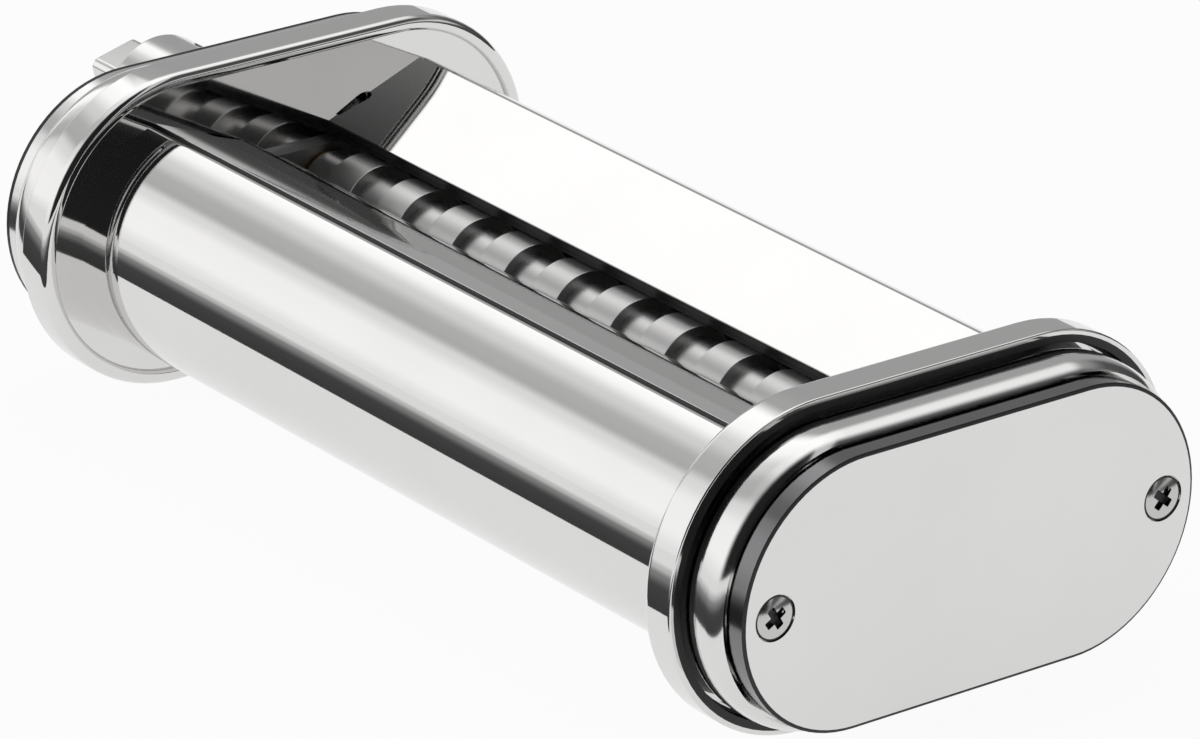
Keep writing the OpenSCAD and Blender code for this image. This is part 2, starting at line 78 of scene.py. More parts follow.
class CutterSizes(bpy.types.PropertyGroup):
    """Sizes of the pieces, in metres and radians"""

    cap_radius: bpy.props.FloatProperty(
        name="Cap radius", description="Radius of the round ends of both end caps",
        default=CAP_TOP / 2, unit="LENGTH", precision=5)
    cap_centre: bpy.props.FloatProperty(
        name="Cap centre", description="Distance from the middle to the centre of each round end",
        default=CAP_HALF_WIDTH - CAP_TOP / 2, unit="LENGTH", precision=5)
    rim_thickness: bpy.props.FloatProperty(
        name="Rim thickness", description="Radial thickness of the rim",
        default=2.5 * MM, unit="LENGTH", precision=5)
    rim_rounding: bpy.props.FloatProperty(
        name="Rim rounding", description="Rounding of the rim's edge towards the shell",
        default=1.4 * MM, unit="LENGTH", precision=5)
    rim_edge: bpy.props.FloatProperty(
        name="Rim edge", description="Rounding of the rim's edge towards the domed cover",
        default=0.35 * MM, unit="LENGTH", precision=5)
    seam: bpy.props.FloatProperty(
        name="Cap seam", description="Width of the seams round the domed cover and the end plate",
        default=0.5 * MM, unit="LENGTH", precision=5)
    lip: bpy.props.FloatProperty(
        name="Rim lip", description="How far the rim stands in front of the end wall",
        default=0.8 * MM, unit="LENGTH", precision=5)
    wall_thickness: bpy.props.FloatProperty(
        name="Wall thickness", description="Thickness of the end wall",
        default=1.2 * MM, unit="LENGTH", precision=5)
    dome_shoulder: bpy.props.FloatProperty(
        name="Dome shoulder", description="Rounding of the domed cover's shoulder",
        default=4.0 * MM, unit="LENGTH", precision=5)
    dome_bulge: bpy.props.FloatProperty(
        name="Dome bulge", description="Radius of the slight bulge of the domed cover's side",
        default=12.4 * MM, unit="LENGTH", precision=5)
    plate_gap: bpy.props.FloatProperty(
        name="Plate step", description="How much smaller the end plate's radius is than the dome's",
        default=1.5 * MM, unit="LENGTH", precision=5)
    plate_sheet: bpy.props.FloatProperty(
        name="Plate sheet", description="Sheet thickness of the end plate and its wall",
        default=1.6 * MM, unit="LENGTH", precision=5)
    screw_radius: bpy.props.FloatProperty(
        name="Screw head radius", description="Radius of the end plate screw heads",
        default=3.45 * MM, unit="LENGTH", precision=5)
    screw_rise: bpy.props.FloatProperty(
        name="Screw head rise", description="Height of the dome of the end plate screw heads",
        default=0.3 * MM, unit="LENGTH", precision=5)
    recess_radius: bpy.props.FloatProperty(
        name="Screw recess radius", description="Radius of the recess round each end plate screw",
        default=3.6 * MM, unit="LENGTH", precision=5)
    cross_length: bpy.props.FloatProperty(
        name="Cross length", description="Length of the cross recess in a screw head",
        default=3.7 * MM, unit="LENGTH", precision=5)
    cross_width: bpy.props.FloatProperty(
        name="Cross width", description="Width of the cross recess in a screw head",
        default=1.3 * MM, unit="LENGTH", precision=5)
    # The chamfer is painted near black as shade.
    plate_chamfer: bpy.props.FloatProperty(
        name="Plate chamfer", description="Width of the dark chamfer round the end plate's face",
        default=0.55 * MM, unit="LENGTH", precision=5)
    shell_radius: bpy.props.FloatProperty(
        name="Shell radius", description="Outer radius of the rounded front and rear",
        default=19.9 * MM, unit="LENGTH", precision=5)
    shell_drop: bpy.props.FloatProperty(
        name="Shell drop", description="How far the rounded sides' centres lie below the caps' middle",
        default=0.6 * MM, unit="LENGTH", precision=5)
    sheet: bpy.props.FloatProperty(
        name="Cover sheet", description="Sheet thickness of the shell covers",
        default=0.9 * MM, unit="LENGTH", precision=5)
    slot_half: bpy.props.FloatProperty(
        name="Slot half width", description="Half of the width of the feed slot",
        default=8.3 * MM, unit="LENGTH", precision=5)
    slot_height: bpy.props.FloatProperty(
        name="Slot height", description="Height of the hopper edges over the caps' middle",
        default=10.8 * MM, unit="LENGTH", precision=5)
    slope: bpy.props.FloatProperty(
        name="Hopper slope", description="Slope of the hopper plates",
        default=math.radians(21.6), subtype="ANGLE")
    fold_radius: bpy.props.FloatProperty(
        name="Fold radius", description="Outer radius of the fold along the top of each cover",
        default=1.6 * MM, unit="LENGTH", precision=5)
    hopper_sheet: bpy.props.FloatProperty(
        name="Hopper sheet", description="Thickness of the sheet that lines each hopper plate",
        default=0.6 * MM, unit="LENGTH", precision=5)
    exit_half: bpy.props.FloatProperty(
        name="Exit half width", description="Half of the width of the exit opening",
        default=11.0 * MM, unit="LENGTH", precision=5)
    strip: bpy.props.FloatProperty(
        name="Strip width", description="Width of one cutting ring",
        default=6.5 * MM, unit="LENGTH", precision=5)
    ring_count: bpy.props.IntProperty(
        name="Rings", description="Cutting rings on each roller", default=11)
    ring_radius: bpy.props.FloatProperty(
        name="Ring radius", description="Outer radius of the cutting rings",
        default=7.1 * MM, unit="LENGTH", precision=5)
    core_radius: bpy.props.FloatProperty(
        name="Core radius", description="Radius of the roller core between the rings",
        default=5.4 * MM, unit="LENGTH", precision=5)
    journal_radius: bpy.props.FloatProperty(
        name="Journal radius", description="Radius of the roller journals",
        default=3.5 * MM, unit="LENGTH", precision=5)
    bush_radius: bpy.props.FloatProperty(
        name="Bush radius", description="Outer radius of the roller bushes",
        default=5.0 * MM, unit="LENGTH", precision=5)
    spigot_radius: bpy.props.FloatProperty(
        name="Spigot radius", description="Radius of the sleeve's spigot in the drive end plate",
        default=10.2 * MM, unit="LENGTH", precision=5)
    sleeve_radius: bpy.props.FloatProperty(
        name="Sleeve radius", description="Outer radius of the drive sleeve",
        default=10.0 * MM, unit="LENGTH", precision=5)
    liner_radius: bpy.props.FloatProperty(
        name="Liner radius", description="Radius of the bore in the drive sleeve",
        default=8.5 * MM, unit="LENGTH", precision=5)
    boss_radius: bpy.props.FloatProperty(
        name="Boss radius", description="Radius of the boss at the foot of the drive sleeve",
        default=14.25 * MM, unit="LENGTH", precision=5)
    boss_length: bpy.props.FloatProperty(
        name="Boss length", description="Length of the boss at the foot of the drive sleeve",
        default=7.0 * MM, unit="LENGTH", precision=5)
    shaft_radius: bpy.props.FloatProperty(
        name="Shaft radius", description="Radius of the drive shaft",
        default=7.0 * MM, unit="LENGTH", precision=5)
    tang_side: bpy.props.FloatProperty(
        name="Tang side", description="Side of the square drive tang",
        default=9.4 * MM, unit="LENGTH", precision=5)
    tang_length: bpy.props.FloatProperty(
        name="Tang length", description="Length of the square drive tang",
        default=10.0 * MM, unit="LENGTH", precision=5)
    tang_chamfer: bpy.props.FloatProperty(
        name="Tang chamfer", description="Chamfer of the tang's long edges",
        default=0.9 * MM, unit="LENGTH", precision=5)
    tang_turn: bpy.props.FloatProperty(
        name="Tang turn", description="Angle of the tang's flats at rest",
        default=math.radians(14.7), subtype="ANGLE")


class CutterFinish(bpy.types.PropertyGroup):
    """Colours of the finishes"""

    polish: bpy.props.FloatVectorProperty(
        name="Polished steel", description="Colour of the mirror polished steel",
        default=(0.76, 0.755, 0.75), subtype="COLOR", size=3)
    satin: bpy.props.FloatVectorProperty(
        name="Satin steel", description="Colour of the machined and satin steel",
        default=(0.58, 0.575, 0.57), subtype="COLOR", size=3)
    matte: bpy.props.FloatVectorProperty(
        name="Matte steel", description="Colour of the matte side frames",
        default=(0.32, 0.32, 0.325), subtype="COLOR", size=3)
    bronze: bpy.props.FloatVectorProperty(
        name="Bronze", description="Colour of the sintered bronze bushes",
        default=(0.58, 0.40, 0.22), subtype="COLOR", size=3)
    floor: bpy.props.FloatVectorProperty(
        name="Floor", description="Colour of the studio floor",
        default=(0.86, 0.86, 0.86), subtype="COLOR", size=3)


# ---------------------------------------------------------------- modelling helpers


def sizes():
    return bpy.context.scene.cutter_sizes


def finish():
    return bpy.context.scene.cutter_finish


def clear_selection():
    """Leave edit mode and deselect every object."""
    if bpy.context.object and bpy.context.object.mode != "OBJECT":
        bpy.ops.object.mode_set(mode="OBJECT")
    bpy.ops.object.select_all(action="DESELECT")


def work_on(piece):
    """Make one piece the only selected and active one."""
    clear_selection()
    piece.select_set(True)
    bpy.context.view_layer.objects.active = piece


def name_piece(name):
    piece = bpy.context.object
    piece.name = name
    piece.data.name = name
    return piece


def start_point(name, place):
    """Start a piece as a single point and leave it in edit mode with the point selected."""
    clear_selection()
    bpy.ops.mesh.primitive_plane_add(size=MM, location=place)
    piece = name_piece(name)
    bpy.ops.object.transform_apply(location=True, rotation=True, scale=True)
    bpy.ops.object.mode_set(mode="EDIT")
    bpy.ops.mesh.select_all(action="SELECT")
    bpy.ops.mesh.merge(type="CENTER")
    return piece


def extrude(step):
    """Extrude what is selected by a step."""
    bpy.ops.mesh.extrude_region_move(TRANSFORM_OT_translate={"value": tuple(step)})


def draw_on(places):
    """Extrude the selected point from the first place through the others."""
    for here, there in zip(places, places[1:]):
        extrude(Vector(there) - Vector(here))


def arc(steps, angle, centre, axis=(1, 0, 0)):
    """Spin what is selected about an axis through a centre."""
    bpy.ops.mesh.spin(steps=steps, angle=angle, center=tuple(centre), axis=axis)


def select_where(test, kind="VERT"):
    """Select the vertices, edges or faces of the edited mesh that pass a test."""
    bpy.ops.mesh.select_mode(type=kind)
    bpy.ops.mesh.select_all(action="DESELECT")
    edited = bmesh.from_edit_mesh(bpy.context.object.data)
    for item in {"VERT": edited.verts, "EDGE": edited.edges, "FACE": edited.faces}[kind]:
        if test(item):
            item.select_set(True)
    edited.select_flush_mode()
    bmesh.update_edit_mesh(bpy.context.object.data)


def close_up(weld=0.002 * MM):
    """Weld doubles and turn the faces outwards."""
    bpy.ops.mesh.select_mode(type="VERT")
    bpy.ops.mesh.select_all(action="SELECT")
    bpy.ops.mesh.remove_doubles(threshold=weld)
    bpy.ops.mesh.normals_make_consistent(inside=False)
    bpy.ops.object.mode_set(mode="OBJECT")


def apply_modifier(piece, kind, **settings):
    """Add a modifier with its settings and apply it."""
    work_on(piece)
    bpy.ops.object.modifier_add(type=kind)
    modifier = piece.modifiers[-1]
    for key, value in settings.items():
        setattr(modifier, key, value)
    bpy.ops.object.modifier_apply(modifier=modifier.name)


def cut_away(piece, cutter):
    """Cut one closed piece out of another and remove the cutter."""
    apply_modifier(piece, "BOOLEAN", operation="DIFFERENCE", object=cutter, solver="EXACT")
    work_on(cutter)
    bpy.ops.object.delete()


def bore(piece, radius, x0, x1, y, z, vertices=96):
    """Cut a round hole along X through a piece."""
    clear_selection()
    bpy.ops.mesh.primitive_cylinder_add(
        vertices=vertices, radius=radius, depth=x1 - x0, rotation=(0, math.pi / 2, 0),
        location=((x0 + x1) / 2, y, z))
    cutter = name_piece("bore_cutter")
    bpy.ops.object.transform_apply(location=True, rotation=True, scale=True)
    cut_away(piece, cutter)


def join(first, *others):
    """Join pieces into the first one."""
    work_on(first)
    for other in others:
        other.select_set(True)
    bpy.ops.object.join()
    return first


def axis_of(node):
    """The (y, z) of the axis of a round frame node."""
    return sum(span(node, 1)) / 2, sum(span(node, 2)) / 2


def smooth(piece, angle=32):
    """Shade a piece smooth except at edges sharper than the angle, flat faces kept flat."""
    work_on(piece)
    bpy.ops.object.shade_smooth_by_angle(angle=math.radians(angle))
    apply_modifier(piece, "WEIGHTED_NORMAL", keep_sharp=True, weight=100)


def mirror_copy(piece, name):
    """Copy a piece to the drive end, mirrored about the middle of the shell."""
    work_on(piece)
    bpy.ops.object.duplicate()
    copy = name_piece(name)
    bpy.ops.transform.resize(value=(-1, 1, 1), center_override=(SHELL_MID, 0, 0))
    bpy.ops.object.transform_apply(location=True, rotation=True, scale=True)
    bpy.ops.object.mode_set(mode="EDIT")
    bpy.ops.mesh.select_all(action="SELECT")
    bpy.ops.mesh.normals_make_consistent(inside=False)
    bpy.ops.object.mode_set(mode="OBJECT")
    return copy


def rounded(points, radii, segments=8):
    """The points of a line in a plane with an arc of each radius put in at its corners."""
    line = []
    for i, here in enumerate(points):
        here = Vector(here)
        radius = radii.get(i, 0)
        if not radius:
            line.append(here)
            continue
        back = (Vector(points[i - 1]) - here).normalized()
        ahead = (Vector(points[(i + 1) % len(points)]) - here).normalized()
        half = back.angle(ahead) / 2
        middle = here + (back + ahead).normalized() * radius / math.sin(half)
        first = here + back * radius / math.tan(half) - middle
        last = here + ahead * radius / math.tan(half) - middle
        turn = first.angle(last)
        for k in range(segments + 1):
            share = k / segments
            out = first * math.sin((1 - share) * turn) + last * math.sin(share * turn)
            line.append(middle + out / math.sin(turn))
    return line


def sweep_oval(name, profile, steps=40):
    """Carry a profile of (x, radius) points once round the cap's oval."""
    c = sizes().cap_centre
    places = [Vector((x, c, CAP_MID + r)) for x, r in profile]
    piece = start_point(name, places[0])
    draw_on(places)
    bpy.ops.mesh.select_all(action="SELECT")
    arc(steps, math.pi, (0, c, CAP_MID))
    extrude((0, -2 * c, 0))
    arc(steps, math.pi, (0, -c, CAP_MID))
    extrude((0, 2 * c, 0))
    close_up()
    return piece


def turn_profile(name, profile, centre, steps=96):
    """Turn a profile of (x, radius) points into a round piece about an axis along X."""
    places = [Vector((x, centre[0], centre[1] + r)) for x, r in profile]
    piece = start_point(name, places[0])
    draw_on(places)
    bpy.ops.mesh.select_all(action="SELECT")
    arc(steps, 2 * math.pi, (0, centre[0], centre[1]))
    close_up()
    return piece


# ---------------------------------------------------------------- materials


class Nodes:
    """A small helper that adds and links shader nodes."""

    def __init__(self, tree):
        self.tree = tree

    def add(self, kind, **settings):
        node = self.tree.nodes.new("ShaderNode" + kind)
        for key, value in settings.items():
            if key.startswith("in_"):
                name = key[3:]
                socket = node.inputs[int(name)] if name.isdigit() else node.inputs[name]
                if isinstance(value, bpy.types.NodeSocket):
                    self.tree.links.new(value, socket)
                else:
                    socket.default_value = value
            else:
                setattr(node, key, value)
        return node

    def math(self, operation, a, b=None, clamp=False):
        settings = {"in_0": a}
        if b is not None:
            settings["in_1"] = b
        return self.add("Math", operation=operation, use_clamp=clamp, **settings).outputs[0]

    def ramp(self, value, stops):
        node = self.add("ValToRGB", in_0=value)
        ramp = node.color_ramp
        ramp.interpolation = "EASE"
        while len(ramp.elements) < len(stops):
            ramp.elements.new(0.5)
        for element, (place, level) in zip(ramp.elements, stops):
            element.position = place
            element.color = (level, level, level, 1)
        return node.outputs[0]


def new_material(name):
    material = bpy.data.materials.new(name)
    material.use_nodes = True
    material.node_tree.nodes.clear()
    return material, Nodes(material.node_tree)


def finish_material(nodes, shader):
    nodes.add("OutputMaterial", in_Surface=shader)


def steel(name, colour, rough, rough_spread, grain=None, bump=0.0, bump_scale=900, wear=0.06, lean=None):
    """Steel with uneven roughness; grain stretches its texture, lean tilts its shading along Y and Z."""
    material, n = new_material(name)
    where = n.add("TexCoord").outputs["Object"]
    stretch = n.add("Mapping", in_Vector=where, in_Scale=grain or (1, 1, 1)).outputs[0]
    cloud = n.add("TexNoise", in_Vector=where, in_Scale=45.0, in_Detail=3.0).outputs["Fac"]
    fine = n.add("TexNoise", in_Vector=stretch, in_Scale=float(bump_scale), in_Detail=4.0).outputs["Fac"]
    mixed = n.math("ADD", n.math("MULTIPLY", cloud, 0.5), n.math("MULTIPLY", fine, 0.5))
    roughness = n.add("MapRange", in_Value=mixed, in_2=0.3, in_3=0.7,
                      in_4=rough - rough_spread, in_5=rough + rough_spread).outputs[0]
    dark = tuple(c * (1 - wear) for c in colour) + (1,)
    tone = n.add("Mix", data_type="RGBA", in_0=cloud, in_6=dark, in_7=tuple(colour) + (1,)).outputs[2]
    normal = n.add("Bump", in_Strength=bump, in_Distance=0.0001, in_Height=fine).outputs[0]
    if lean:
        way = n.add("SeparateXYZ", in_0=where).outputs
        slant = n.math("SUBTRACT", n.math("MULTIPLY", way[1], -math.tan(lean[0])),
                       n.math("MULTIPLY", way[2], math.tan(lean[1])))
        normal = n.add("Bump", in_Strength=1.0, in_Distance=1.0, in_Height=slant, in_Normal=normal).outputs[0]
    shader = n.add("BsdfPrincipled", in_Metallic=1.0)
    n.tree.links.new(tone, shader.inputs["Base Color"])
    n.tree.links.new(roughness, shader.inputs["Roughness"])
    n.tree.links.new(normal, shader.inputs["Normal"])
    finish_material(n, shader.outputs[0])
    return material


def dress(piece, material):
    piece.data.materials.clear()
    piece.data.materials.append(material)


def stand_for(piece, body, slot, *nodes):
    """Put a finished piece on its body in place of frame nodes."""
    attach(piece, body)
    if nodes:
        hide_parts(*nodes)


# ---------------------------------------------------------------- pieces


class CUTTER_OT_finishes(bpy.types.Operator):
    """Make the steel and bronze finishes and put them on the frame nodes that stay"""

    bl_idname = "cutter.finishes"
    bl_label = "Finishes"

    def execute(self, context):
        f = finish()
        mats = {
            "polished_shell": steel("polished steel", f.polish, 0.05, 0.012, bump=0.006),
            "side_frame_steel": steel("matte sheet", f.matte, 0.45, 0.06, (1, 1, 8), 0.15),
            "drive_steel": steel("turned drive steel", f.polish, 0.16, 0.03, (12, 1, 1), 0.06),
            "cutter_steel": steel("machined cutter steel", f.satin, 0.33, 0.03, (14, 1, 1), 0.03),
            "comb_steel": steel("satin comb sheet", f.satin, 0.32, 0.05, (1, 6, 1), 0.12),
            "plain_steel": steel("plain machined steel", f.satin, 0.34, 0.06, (10, 1, 1), 0.12),
            "screw_steel": steel("screw steel", f.satin, 0.14, 0.03, bump=0.03,
                                 lean=(math.radians(-14.5), math.radians(10.0))),
            "bronze": steel("sintered bronze", f.bronze, 0.42, 0.08, bump=0.25, bump_scale=1500),
        }
        steel("polished wall", f.polish, 0.06, 0.01, lean=(0.0, math.radians(2.8)))
        steel("hopper sheet", f.polish, 0.06, 0.01)
        steel("front hopper sheet", f.polish, 0.09, 0.01, (1, 8, 1), 0.01, lean=(math.radians(-3.0), 0.0))
        steel("dome steel", f.polish, 0.13, 0.02, bump=0.01)
        # Near black steel, painted shade: it darkens the groove by each rim, the dome's foot, the end plates'
        # chamfers, the screw heads' rims and crosses, and the hopper sheets' edges.
        steel("painted shade black", (0.05, 0.05, 0.05), 0.5, 0.05)
        # Dark grey steel for the plain end plate's side wall, painted shade.
        steel("plate wall painted shade", (0.20, 0.20, 0.205), 0.16, 0.02)
        steel("plate face", f.polish, 0.12, 0.015, bump=0.01)
        slots = {s["node"]: s["material_slot"] for s in frame["record"]["subparts"]}
        for node, piece in frame["nodes"].items():
            dress(piece, mats[slots[node]])
        return {"FINISHED"}


class CUTTER_OT_end_walls(bpy.types.Operator):
    """Model the oval end walls with their rounded rims"""

    bl_idname = "cutter.end_walls"
    bl_label = "End walls"

    def execute(self, context):
        s = sizes()
        outer = s.cap_radius
        inner = outer - s.rim_thickness
        face = RIM_IN + s.lip
        back = face + s.wall_thickness
        foot = RIM_OUT - 2.4 * MM
        points = [(face, 0), (face, inner), (RIM_IN, inner), (RIM_IN, outer),
                  (RIM_OUT, outer), (RIM_OUT, outer - 0.8 * MM), (RIM_OUT, inner + s.seam),
                  (foot, inner + s.seam),
                  (foot, inner), (back, inner), (back, 0)]
        profile = rounded(points, {2: 0.8 * MM, 3: s.rim_rounding, 4: s.rim_edge}, 12)
        plain = sweep_oval("plain_wall_polished", [tuple(p) for p in profile])
        for roller in ("rear_cutter_roller", "front_cutter_roller"):
            bore(plain, s.bush_radius, face - MM, back + MM, *axis_of(roller))
        dress(plain, bpy.data.materials["polished steel"])
        plain.data.materials.append(bpy.data.materials["polished wall"])
        plain.data.materials.append(bpy.data.materials["painted shade black"])
        # Painted shade: the seam groove behind the rim and the inner part of the rim's outer face are painted
        # near black.
        for face_of in plain.data.polygons:
            if abs(face_of.center.x - face) < 0.02 * MM and abs(face_of.normal.x) > 0.9:
                face_of.material_index = 1
            elif face_of.center.x > foot - 0.01 * MM and self.inside(face_of.center) > 1.0 * MM:
                face_of.material_index = 2
        smooth(plain)
        drive = mirror_copy(plain, "drive_wall_polished")
        stand_for(plain, "housing", "polished_shell", "plain_end_wall")
        stand_for(drive, "housing", "polished_shell", "drive_end_wall")
        return {"FINISHED"}

    def inside(self, place):
        """How far a place lies inside the rim's outer surface."""
        s = sizes()
        return s.cap_radius - math.hypot(max(abs(place.y) - s.cap_centre, 0), place.z - CAP_MID)


class CUTTER_OT_end_covers(bpy.types.Operator):
    """Model the domed covers behind the rims"""

    bl_idname = "cutter.end_covers"
    bl_label = "End covers"

    def execute(self, context):
        s = sizes()
        radius = s.cap_radius - s.rim_thickness
        plate = radius - s.plate_gap
        seat = span("plain_end_plate", 0)[0]
        start = RIM_IN + s.lip + s.wall_thickness
        opening = plate - 3.0 * MM
        back, bend, end = (math.radians(v) for v in (-14, 8, 49))
        crest = RIM_OUT - s.dome_bulge * math.sin(back)
        line = [(start, radius - 1.2 * MM), (RIM_OUT - 2.0 * MM, radius - 1.2 * MM)]
        for k in range(13):
            a = back + (bend - back) * k / 12
            line.append((crest + s.dome_bulge * math.sin(a), radius - s.dome_bulge * (1 - math.cos(a))))
        turn_x = line[-1][0] - s.dome_shoulder * math.sin(bend)
        turn_r = line[-1][1] - s.dome_shoulder * math.cos(bend)
        for k in range(1, 15):
            a = bend + (end - bend) * k / 14
            line.append((turn_x + s.dome_shoulder * math.sin(a), turn_r + s.dome_shoulder * math.cos(a)))
        line += [(seat - 1.4 * MM, line[-1][1]), (seat - 1.4 * MM, plate - 1.6 * MM),
                 (seat, plate - 1.6 * MM), (seat, opening), (seat - 2.6 * MM, opening),
                 (seat - 2.8 * MM, radius - 3.6 * MM), (RIM_OUT, radius - 2.4 * MM),
                 (start, radius - 2.4 * MM), (start, radius - 1.2 * MM)]
        plain = sweep_oval("plain_dome_polished", line)
        dress(plain, bpy.data.materials["dome steel"])
        plain.data.materials.append(bpy.data.materials["painted shade black"])
        # Painted shade: the dome's foot in the groove by the rim is painted near black.
        for face in plain.data.polygons:
            if face.center.x < RIM_OUT + 0.5 * MM:
                face.material_index = 1
        smooth(plain)
        drive = mirror_copy(plain, "drive_dome_polished")
        stand_for(plain, "housing", "polished_shell", "plain_end_cover")
        stand_for(drive, "housing", "polished_shell", "drive_end_cover")
        return {"FINISHED"}


class CUTTER_OT_end_plates(bpy.types.Operator):
    """Model the flat end plates with their screw recesses"""

    bl_idname = "cutter.end_plates"
    bl_label = "End plates"

    def execute(self, context):
        s = sizes()
        radius = s.cap_radius - s.rim_thickness - s.plate_gap - s.seam
        low, high = span("plain_end_plate", 0)
        screw_y = span("plain_end_screws", 1)[1] - span("plain_end_screws", 1)[0]
        screw_y = screw_y / 2 - 3.3 * MM
        profile = [(high, 0), (high, radius - s.plate_chamfer), (high - 0.5 * s.plate_chamfer, radius),
                   (high - 1.9 * s.plate_chamfer, radius), (low, radius), (low, radius - s.plate_sheet),
                   (high - s.plate_sheet, radius - s.plate_sheet), (high - s.plate_sheet, 0)]
        plain = sweep_oval("plain_plate_polished", profile)
        for side in (-1, 1):
            bore(plain, s.recess_radius, high - 1.35 * MM, high + MM, side * screw_y, CAP_MID)
        dress(plain, bpy.data.materials["plate face"])
        plain.data.materials.append(bpy.data.materials["plate wall painted shade"])
        plain.data.materials.append(bpy.data.materials["painted shade black"])
        # Painted shade: the plate's side wall is painted dark grey and the chamfer round its face near black;
        # the faces by the screw recesses keep the face's steel.
        for face in plain.data.polygons:
            off = Vector((abs(face.center.y) - screw_y, face.center.z - CAP_MID)).length
            if off < s.recess_radius + 0.1 * MM:
                continue
            if abs(face.normal.x) < 0.1:
                face.material_index = 1
            elif 0.3 < face.normal.x < 0.95:
                face.material_index = 2
        smooth(plain)
        drive = mirror_copy(plain, "drive_plate_polished")
        drive.data.materials[1] = bpy.data.materials["dome steel"]
        # Painted shade: on the drive plate the wall keeps the dome's steel, but its strip next to the chamfer
        # is painted near black.
        outside = span("drive_end_plate", 0)[0]
        for face in drive.data.polygons:
            if face.material_index == 1 and face.center.x < outside + 1.9 * s.plate_chamfer:
                face.material_index = 2
        bore(drive, s.spigot_radius, outside - MM, outside + 3 * MM, *axis_of("rear_cutter_roller"))
        smooth(drive)
        stand_for(plain, "housing", "polished_shell", "plain_end_plate")
        stand_for(drive, "housing", "polished_shell", "drive_end_plate")
        return {"FINISHED"}


class CUTTER_OT_end_screws(bpy.types.Operator):
    """Model the domed cross-recess screws of the end plates"""

    bl_idname = "cutter.end_screws"
    bl_label = "End screws"

    def execute(self, context):
        low, high = span("plain_end_screws", 0)
        across = span("plain_end_screws", 1)
        screw_y = (across[1] - across[0]) / 2 - 3.3 * MM
        plain = join(self.screw("plain_screws_crossed", low, high, -screw_y, math.radians(33)),
                     self.screw("second_screw", low, high, screw_y, math.radians(52)))
        dress(plain, bpy.data.materials["screw steel"])
        plain.data.materials.append(bpy.data.materials["painted shade black"])
        # Painted shade: a ring round the edge of each head and the deep faces of its cross are painted near
        # black.
        for face in plain.data.polygons:
            off = Vector((abs(face.center.y) - screw_y, face.center.z - CAP_MID)).length
            deep = abs(face.normal.x) < 0.6 or face.center.x < high - 0.5 * MM
            ring = face.center.x > high - MM and off > sizes().screw_radius - 0.42 * MM
            if ring or deep and face.center.x > high - MM and off < 0.55 * sizes().cross_length:
                face.material_index = 1
        smooth(plain)
        drive = mirror_copy(plain, "drive_screws_crossed")
        stand_for(plain, "housing", "screw_steel", "plain_end_screws")
        stand_for(drive, "housing", "screw_steel", "drive_end_screws")
        return {"FINISHED"}

    def screw(self, name, low, high, y, turn):
        """One screw along X, its head domed and cut with a cross."""
        s = sizes()
        r = s.screw_radius
        rise = s.screw_rise
        shoulder = high - rise
        under = shoulder - 0.2 * MM
        ball = (r * r + rise * rise) / (2 * rise)
        spread = math.asin(r / ball)
        profile = [(low, 0), (low, 1.3 * MM), (low + 0.4 * MM, 1.6 * MM), (under, 1.6 * MM),
                   (under, r - 0.4 * MM), (shoulder, r)]
        for k in range(1, 13):
            a = spread * (12 - k) / 12
            profile.append((high - ball * (1 - math.cos(a)), ball * math.sin(a)))
        head = turn_profile(name, profile, (y, CAP_MID), 64)
        for half_turn in (0, math.pi / 2):
            clear_selection()
            bpy.ops.mesh.primitive_cube_add(size=1, location=(high, y, CAP_MID),
                                            rotation=(turn + half_turn, 0, 0))
            cutter = name_piece("cross_cutter")
            bpy.ops.transform.resize(value=(1.8 * MM, s.cross_width, s.cross_length),
                                     orient_type="LOCAL")
            bpy.ops.object.transform_apply(location=True, rotation=True, scale=True)
            apply_modifier(cutter, "BEVEL", width=0.2 * MM, segments=3)
            cut_away(head, cutter)
        return head


